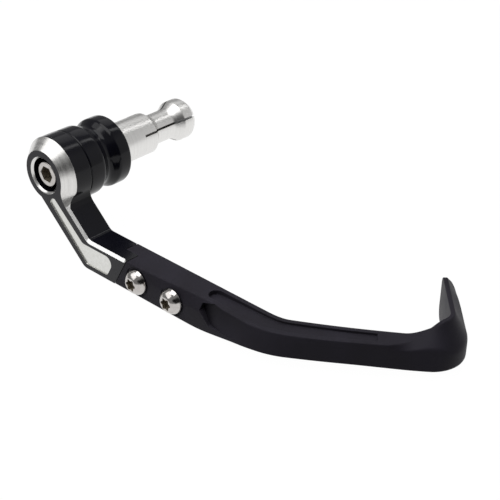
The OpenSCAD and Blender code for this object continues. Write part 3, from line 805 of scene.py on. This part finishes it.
# Bends a straight piece along a path: x becomes the distance along it and y the distance outwards
def bendAlong(piece, path, start, material):
    rig = NodeRig("bendAlongPath", {
        "Path": ("NodeSocketObject", path),
        "Start": ("NodeSocketFloat", start * mm)})
    tree, inputs = rig.tree, rig.inputs
    way = addNode(tree, "GeometryNodeObjectInfo", {}, {"Object": inputs["Path"]})
    place = addNode(tree, "ShaderNodeSeparateXYZ", {}, {
        "Vector": addNode(tree, "GeometryNodeInputPosition").outputs["Position"]})
    gone = addNode(tree, "ShaderNodeMath", {"operation": "SUBTRACT"},
                   {0: place.outputs["X"], 1: inputs["Start"]})
    here = addNode(tree, "GeometryNodeSampleCurve", {"mode": "LENGTH", "use_all_curves": True},
                   {"Curves": way.outputs["Geometry"], "Length": gone.outputs["Value"]})
    outward = addNode(tree, "ShaderNodeVectorMath", {"operation": "CROSS_PRODUCT", 1: (0, 0, 1)},
                      {0: here.outputs["Tangent"]})
    aside = addNode(tree, "ShaderNodeVectorMath", {"operation": "SCALE"},
                    {0: outward.outputs["Vector"], "Scale": place.outputs["Y"]})
    up = addNode(tree, "ShaderNodeCombineXYZ", {}, {"Z": place.outputs["Z"]})
    base = addNode(tree, "ShaderNodeVectorMath", {"operation": "ADD"},
                   {0: here.outputs["Position"], 1: aside.outputs["Vector"]})
    final = addNode(tree, "ShaderNodeVectorMath", {"operation": "ADD"},
                    {0: base.outputs["Vector"], 1: up.outputs["Vector"]})
    moved = addNode(tree, "GeometryNodeSetPosition", {}, {
        "Geometry": inputs["Geometry"], "Position": final.outputs["Vector"]})
    rig.end(moved.outputs["Geometry"], material)
    rig.run(piece)


guard = makeBlade(blade)
path = bladePath(blade)
bendAlong(guard, path, -blade["lip"] - blade["thick"][0], nylonSkin)
bpy.data.objects.remove(path)
smoothButSharp(guard.data, 28)
settle(guard, "blade_nylon", "guard_blade")


# Bar end barrel: turned, with a soft waist between two rims
barrel = {
    "radius": 13.8, "length": 20.5, "hole": 3.2,
    "grooveFrom": -5.8, "grooveWide": 7.8, "grooveDeep": 2.1,
    "rimSoft": 1.3, "edgeSoft": 0.7, "seat": (8.4, 1.0),
}


def makeBarrel(size):
    r, long = size["radius"], size["length"]
    near = size["grooveFrom"]
    far = near - size["grooveWide"]
    middle = (near + far) / 2
    flat = 0.12 * size["grooveWide"]
    waist = r - size["grooveDeep"]
    seatR, seatDeep = size["seat"]
    corners = [
        (size["hole"], -long, 0.1), (r, -long, size["edgeSoft"]), (r, far, 1.0),
        (waist, middle - flat, 1.0), (waist, middle + flat, 1.0), (r, near, 0.8),
        (r, 0, size["rimSoft"]), (seatR, 0, 0.15), (seatR, -seatDeep, 0.1), (size["hole"], -seatDeep, 0.1)]
    return pieceFrom("barrelBody", turnedMesh("barrelBody", corners, 160, 6), barrelSkin)


barrelPiece = makeBarrel(barrel)
settle(barrelPiece, "barrel_anodised", "bar_end_barrel")


# Expander plug: a turned sleeve with four slots that let its end spread in the handlebar
plug = {
    "radius": 8.3, "base": 19.2, "neck": 6.1, "flareFrom": 31, "flare": 3.6, "band": 4.6, "end": 2.2,
    "endRadius": 6.6, "bore": 4, "hole": 3.2, "seatDeep": 1.0, "coneLength": 10, "coneRadius": 5.4,
    "slotFrom": 13, "slotWide": 0.9, "slotTurn": 67, "slots": 4,
}


# Cuts the slots: one slot, repeated round the bolt by nodes and taken off the sleeve
def cutSlots(piece, size, material):
    rig = NodeRig("slotsRoundSleeve", {
        "Slots": ("NodeSocketInt", size["slots"]),
        "Width": ("NodeSocketFloat", size["slotWide"] * mm),
        "Start": ("NodeSocketFloat", size["slotFrom"] * mm),
        "Length": ("NodeSocketFloat", 40 * mm),  # past the sleeve's end
        "Reach": ("NodeSocketFloat", 12 * mm),   # past its outside
        "First turn": ("NodeSocketFloat", math.radians(size["slotTurn"]))})
    tree, inputs = rig.tree, rig.inputs
    boxSize = addNode(tree, "ShaderNodeCombineXYZ", {}, {
        "X": inputs["Length"], "Y": inputs["Width"], "Z": inputs["Reach"]})
    slot = addNode(tree, "GeometryNodeMeshCube", {}, {"Size": boxSize.outputs["Vector"]})
    halfLong = addNode(tree, "ShaderNodeMath", {"operation": "MULTIPLY_ADD", 1: 0.5},
                       {0: inputs["Length"], 2: inputs["Start"]})
    halfReach = addNode(tree, "ShaderNodeMath", {"operation": "MULTIPLY", 1: 0.5}, {0: inputs["Reach"]})
    offset = addNode(tree, "ShaderNodeCombineXYZ", {}, {
        "X": halfLong.outputs["Value"], "Z": halfReach.outputs["Value"]})
    placed = addNode(tree, "GeometryNodeTransform", {}, {
        "Geometry": slot.outputs["Mesh"], "Translation": offset.outputs["Vector"]})
    points = addNode(tree, "GeometryNodePoints", {}, {"Count": inputs["Slots"]})
    index = addNode(tree, "GeometryNodeInputIndex")
    share = addNode(tree, "ShaderNodeMath", {"operation": "DIVIDE"},
                    {0: index.outputs["Index"], 1: inputs["Slots"]})
    angle = addNode(tree, "ShaderNodeMath", {"operation": "MULTIPLY_ADD", 1: 2 * math.pi},
                    {0: share.outputs["Value"], 2: inputs["First turn"]})
    turn = addNode(tree, "ShaderNodeCombineXYZ", {}, {"X": angle.outputs["Value"]})
    ring = addNode(tree, "GeometryNodeInstanceOnPoints", {}, {
        "Points": points.outputs["Points"], "Instance": placed.outputs["Geometry"],
        "Rotation": turn.outputs["Vector"]})
    cutters = addNode(tree, "GeometryNodeRealizeInstances", {}, {"Geometry": ring.outputs["Instances"]})
    cut = addNode(tree, "GeometryNodeMeshBoolean", {"operation": "DIFFERENCE"}, {
        "Mesh 1": inputs["Geometry"], "Mesh 2": cutters.outputs["Geometry"]})
    rig.end(cut.outputs["Mesh"], material)
    rig.run(piece)


def makePlug(size):
    r, neck = size["radius"], size["neck"]
    flareTo = size["flareFrom"] + size["flare"]
    bandTo = flareTo + size["band"]
    end = bandTo + size["end"]
    step = size["slotFrom"] - 2  # where the bore widens
    corners = [
        (size["hole"], -size["seatDeep"], 0.05), (r, -size["seatDeep"], 0.1), (r, size["base"], 0.35),
        (neck, size["base"] + r - neck, 1.2), (neck, size["flareFrom"], 1.4), (r, flareTo, 0.5),
        (r, bandTo, 0.3), (size["endRadius"], end, 0.3), (size["coneRadius"], end, 0.15),
        (size["bore"], end - size["coneLength"], 0.2), (size["bore"], step, 0.1), (size["hole"], step, 0.1)]
    piece = pieceFrom("expanderPlug", turnedMesh("expanderPlug", corners, 144, 5), plugSkin)
    cutSlots(piece, size, plugSkin)
    smoothButSharp(piece.data)
    return piece


plugPiece = makePlug(plug)
settle(plugPiece, "bare_aluminium", "expander_sleeve")


# Cone nut in the plug's far end
nut = {"from": 32.4, "to": 41.4, "small": 4.04, "large": 5.3, "hole": 3.05}


def makeNut(size):
    corners = [(size["hole"], size["from"], 0.3), (size["small"], size["from"], 0.2),
               (size["large"], size["to"], 0.25), (size["hole"], size["to"], 0.4)]
    return pieceFrom("coneNut", turnedMesh("coneNut", corners, 96, 4), nutSkin)


nutPiece = makeNut(nut)
settle(nutPiece, "nut_steel", "cone_nut")


# Clamp bolt: a cylinder head with a hex socket, and a thread that follows a spiral
bolt = {
    "top": -31.1, "headRadius": 5, "head": 6, "headSoft": 0.6, "across": 5.8, "socketDeep": 3.6,
    "shankRadius": 3, "end": 42.4, "threadFrom": 24, "threadTo": 41.2, "pitch": 1.0, "threadDeep": 0.35,
    "edgeSoft": 0.15,
}


# A ridge that follows a spiral round the bolt
def threadRidge(size, material):
    turns = (size["threadTo"] - size["threadFrom"]) / size["pitch"]
    holder = pieceFrom("boltThread", bpy.data.meshes.new("boltThread"))
    rig = NodeRig("threadAlongSpiral", {
        "Radius": ("NodeSocketFloat", (size["shankRadius"] - size["threadDeep"]) * mm),
        "Pitch": ("NodeSocketFloat", size["pitch"] * mm),
        "Turns": ("NodeSocketFloat", turns),
        "Start": ("NodeSocketFloat", size["threadFrom"] * mm),
        "Ridge": ("NodeSocketFloat", 0.5 * size["pitch"] * mm)})
    tree, inputs = rig.tree, rig.inputs
    height = addNode(tree, "ShaderNodeMath", {"operation": "MULTIPLY"},
                     {0: inputs["Pitch"], 1: inputs["Turns"]})
    spiral = addNode(tree, "GeometryNodeCurveSpiral", {"Resolution": 36}, {
        "Rotations": inputs["Turns"], "Start Radius": inputs["Radius"], "End Radius": inputs["Radius"],
        "Height": height.outputs["Value"]})
    profile = addNode(tree, "GeometryNodeCurvePrimitiveCircle", {"Resolution": 6},
                      {"Radius": inputs["Ridge"]})
    swept = addNode(tree, "GeometryNodeCurveToMesh", {"Fill Caps": True}, {
        "Curve": spiral.outputs["Curve"], "Profile Curve": profile.outputs["Curve"]})
    start = addNode(tree, "ShaderNodeCombineXYZ", {}, {"X": inputs["Start"]})
    laid = addNode(tree, "GeometryNodeTransform", {"Rotation": (0, math.pi / 2, 0)}, {
        "Geometry": swept.outputs["Mesh"], "Translation": start.outputs["Vector"]})
    rig.end(laid.outputs["Geometry"], material)
    rig.run(holder)
    return holder


# Whether a face belongs to a socket that is sunk from a head's top
def inSocket(face, top, deep, reach):
    centre = face.center / mm
    return top + 0.15 < centre.x < top + deep + 0.1 and math.hypot(centre.y, centre.z) < reach


def makeBolt(size):
    top, seat = size["top"], size["top"] + size["head"]
    core = size["shankRadius"] - size["threadDeep"]
    corners = [
        (0, top, 0), (size["headRadius"], top, size["headSoft"]), (size["headRadius"], seat, 0.2),
        (size["shankRadius"], seat, 0.2), (size["shankRadius"], size["threadFrom"] - 1, 0.2),
        (core, size["threadFrom"], 0.2), (core, size["end"] - 0.8, 0.1),
        (core - 0.6, size["end"], 0.1), (0, size["end"], 0)]
    piece = pieceFrom("clampBolt", turnedMesh("clampBolt", corners, 96, 4), boltSkin)
    hexagon = roundOf(size["across"] / 2 / math.cos(math.pi / 6), 6)
    cutAway(piece, sidePrism("hexSocket", hexagon, top - 1, top + size["socketDeep"]))
    softenEdges(piece, size["edgeSoft"])
    # the socket's faces get the darker steel: partly oil and oxide, partly painted shade of the recess
    piece.data.materials.append(socketOxideAndShadeSkin)
    for face in piece.data.polygons:
        face.material_index = int(inSocket(face, top, size["socketDeep"], size["across"] / 2 + 0.4))
    ridge = threadRidge(size, boltSkin)
    joined = bmesh.new()
    joined.from_mesh(piece.data)
    joined.from_mesh(ridge.data)
    joined.to_mesh(piece.data)
    joined.free()
    bpy.data.objects.remove(ridge)
    flattenShading(piece)
    return piece


boltPiece = makeBolt(bolt)
settle(boltPiece, "bolt_stainless", "clamp_bolt")


# Blade screws: one domed head with a six-lobe socket, repeated along the pad by nodes
screw = {
    "seat": -32.4, "radius": 5.0, "height": 3.4, "rim": 0.25, "flat": 0.54, "edgeSoft": 0.12,
    "lobe": 2.45, "lobeIn": 0.73, "lobeFull": 1.2, "socketDeep": 2.0,  # lobeIn is a share of lobe
    "shankRadius": 3, "long": 10, "first": (0, -50.2, -24.9), "pitch": 18.1, "count": 2,
}


def screwMesh(size):
    seat, r, rim = size["seat"], size["radius"], size["rim"]
    crown = size["height"] - rim
    flat = size["flat"] * r
    drop = (r * r - flat * flat - crown * crown) / (2 * crown)
    ball = math.hypot(r, drop)
    low, high = math.asin(drop / ball), math.asin((drop + crown) / ball)
    count = 16
    dome = []
    for i in range(count, 0, -1):
        angle = mix(low, high, i / count)
        dome.append((ball * math.cos(angle), seat - rim - (ball * math.sin(angle) - drop), 0))
    shank, end = size["shankRadius"], seat + size["long"]
    corners = [(0, seat - size["height"], 0)] + dome + [
        (r, seat - rim, 0.08), (r - 0.1, seat, 0.1), (shank, seat, 0.1), (shank, end - 0.7, 0.1),
        (shank - 0.7, end, 0.1), (0, end, 0)]
    return turnedMesh("screwHead", corners, 96, 3)


def lobeRadius(size, angle):
    wave = 0.5 + 0.5 * math.cos(6 * angle)
    return size["lobe"] * mix(size["lobeIn"], 1.0, wave ** size["lobeFull"])


def makeScrews(size):
    one = pieceFrom("oneScrew", screwMesh(size), screwSkin)
    top = size["seat"] - size["height"]
    outline = roundOf(lambda angle: lobeRadius(size, angle), 96)
    cutAway(one, sidePrism("lobeSocket", outline, top - 1, top + size["socketDeep"]))
    softenEdges(one, size["edgeSoft"], joinFlats=False)
    socket = one.data.attributes.new("socket", "BOOLEAN", "FACE")
    for face, mark in zip(one.data.polygons, socket.data):
        mark.value = inSocket(face, top, size["socketDeep"], size["lobe"] + 0.05)
    holder = pieceFrom("bladeScrews", bpy.data.meshes.new("bladeScrews"))
    rig = NodeRig("screwsAlongPad", {
        "Screw": ("NodeSocketObject", one),
        "Count": ("NodeSocketInt", size["count"]),
        "First": ("NodeSocketVector", [c * mm for c in size["first"]]),
        "Pitch": ("NodeSocketFloat", size["pitch"] * mm)})
    tree, inputs = rig.tree, rig.inputs
    forward = addNode(tree, "ShaderNodeMath", {"operation": "MULTIPLY", 1: -1.0}, {0: inputs["Pitch"]})
    step = addNode(tree, "ShaderNodeCombineXYZ", {}, {"Y": forward.outputs["Value"]})
    line = addNode(tree, "GeometryNodeMeshLine", {"mode": "OFFSET"}, {
        "Count": inputs["Count"], "Start Location": inputs["First"], "Offset": step.outputs["Vector"]})
    head = addNode(tree, "GeometryNodeObjectInfo", {}, {"Object": inputs["Screw"]})
    copies = addNode(tree, "GeometryNodeInstanceOnPoints", {}, {
        "Points": line.outputs["Mesh"], "Instance": head.outputs["Geometry"]})
    # the socket faces get the darker steel: partly oil and oxide, partly painted shade of the recess
    rig.end(copies.outputs["Instances"], screwSkin, "socket", socketOxideAndShadeSkin)
    rig.run(holder)
    bpy.data.objects.remove(one)
    flattenShading(holder)
    return holder


screwPiece = makeScrews(screw)
settle(screwPiece, "screw_stainless", "blade_screw_rear", "blade_screw_front")


# Floor, lights and background
studio = {
    "floorZ": -31.6,      # mm, just under the lowest edge of the blade's pad
    "floorReach": 30.0,   # m
    "floorColour": "#8c8c8c",
    "floorGlow": (0.9, 1.1),  # share and strength of plain white in what the camera and reflections see
    "ambient": 0.28,
    # where the room differs: direction, angles between which it fades, brightness against the rest.
    # In turn the place of the camera, the wall beside it, and the bright side.
    "corners": (((-0.64, -0.62, 0.42), 7, 17, 0.06), ((-0.22, -0.94, 0.24), 20, 42, 0.06),
                ((0.64, -0.72, 0.27), 16, 44, 2.2)),
    "lamps": {
        # name: place and aim in m, width and height in m, power in W
        "leftBank": ((-0.40, 0.24, 0.51), (0, -0.05, 0), (0.74, 0.42), 1.55),
        "rightStrip": ((0.45, -0.06, 0.53), (0, -0.06, 0), (0.08, 0.30), 0.22),
        "overhead": ((-0.02, 0.02, 0.85), (0, -0.08, 0), (0.7, 0.7), 4.0),
        "rightBank": ((0.46, 0.34, 0.53), (0, -0.05, 0), (0.34, 0.34), 0.2),
    },
}


def makeFloor(size):
    count = 96
    reach = size["floorReach"] / mm
    points = [(x, y, size["floorZ"]) for x, y in roundOf(reach, count)]
    mesh = solidMesh("studioFloor", points, [list(range(count))])
    material, tree = newMaterial("whitePaperSweep")
    # matt paper for the light, and nearly white by itself for what the camera and reflections see
    paper = addNode(tree, "ShaderNodeBsdfDiffuse", {"Color": colour(size["floorColour"])})
    share, strength = size["floorGlow"]
    glow = addNode(tree, "ShaderNodeEmission", {"Color": (1, 1, 1, 1), "Strength": strength})
    ray = addNode(tree, "ShaderNodeLightPath")
    mirrored = addNode(tree, "ShaderNodeMath", {"operation": "MAXIMUM"},
                       {0: ray.outputs["Is Transmission Ray"], 1: ray.outputs["Is Glossy Ray"]})
    seen = addNode(tree, "ShaderNodeMath", {"operation": "MAXIMUM"},
                   {0: ray.outputs["Is Camera Ray"], 1: mirrored.outputs["Value"]})
    share = addNode(tree, "ShaderNodeMath", {"operation": "MULTIPLY", 1: share}, {0: seen.outputs["Value"]})
    both = addNode(tree, "ShaderNodeMixShader", {}, {0: share.outputs["Value"], 1: paper.outputs["BSDF"],
                                                     2: glow.outputs["Emission"]})
    addNode(tree, "ShaderNodeOutputMaterial", {}, {"Surface": both.outputs["Shader"]})
    floor = pieceFrom("studioFloor", mesh, material)


def makeLights(size):
    for name, (place, aim, spread, power) in size["lamps"].items():
        lamp = bpy.data.lights.new(name, "AREA")
        lamp.shape = "RECTANGLE"
        lamp.size, lamp.size_y = spread
        lamp.energy = power
        holder = bpy.data.objects.new(name, lamp)
        holder.location = place
        holder.rotation_euler = (Vector(aim) - Vector(place)).to_track_quat("-Z", "Y").to_euler()
        bpy.context.scene.collection.objects.link(holder)
    world = bpy.data.worlds.new("studioWorld")
    bpy.context.scene.world = world
    world.use_nodes = True
    tree = world.node_tree
    tree.nodes.clear()
    direction = addNode(tree, "ShaderNodeTexCoord").outputs["Generated"]
    strength = addNode(tree, "ShaderNodeValue")
    strength.outputs[0].default_value = size["ambient"]
    for way, inner, outer, level in size["corners"]:
        near = addNode(tree, "ShaderNodeVectorMath", {
            "operation": "DOT_PRODUCT", 1: Vector(way).normalized()}, {0: direction})
        share = addNode(tree, "ShaderNodeMapRange", {
            "interpolation_type": "SMOOTHSTEP", "From Min": math.cos(math.radians(outer)),
            "From Max": math.cos(math.radians(inner)), "To Min": 1.0, "To Max": level},
            {"Value": near.outputs["Value"]})
        strength = addNode(tree, "ShaderNodeMath", {"operation": "MULTIPLY"},
                           {0: strength.outputs[0], 1: share.outputs["Result"]})
    back = addNode(tree, "ShaderNodeBackground", {"Color": (1, 1, 1, 1)}, {"Strength": strength.outputs[0]})
    addNode(tree, "ShaderNodeOutputWorld", {}, {"Surface": back.outputs["Background"]})


makeFloor(studio)
makeLights(studio)
bpy.context.scene.view_settings.view_transform = "Standard"
print("studio set")
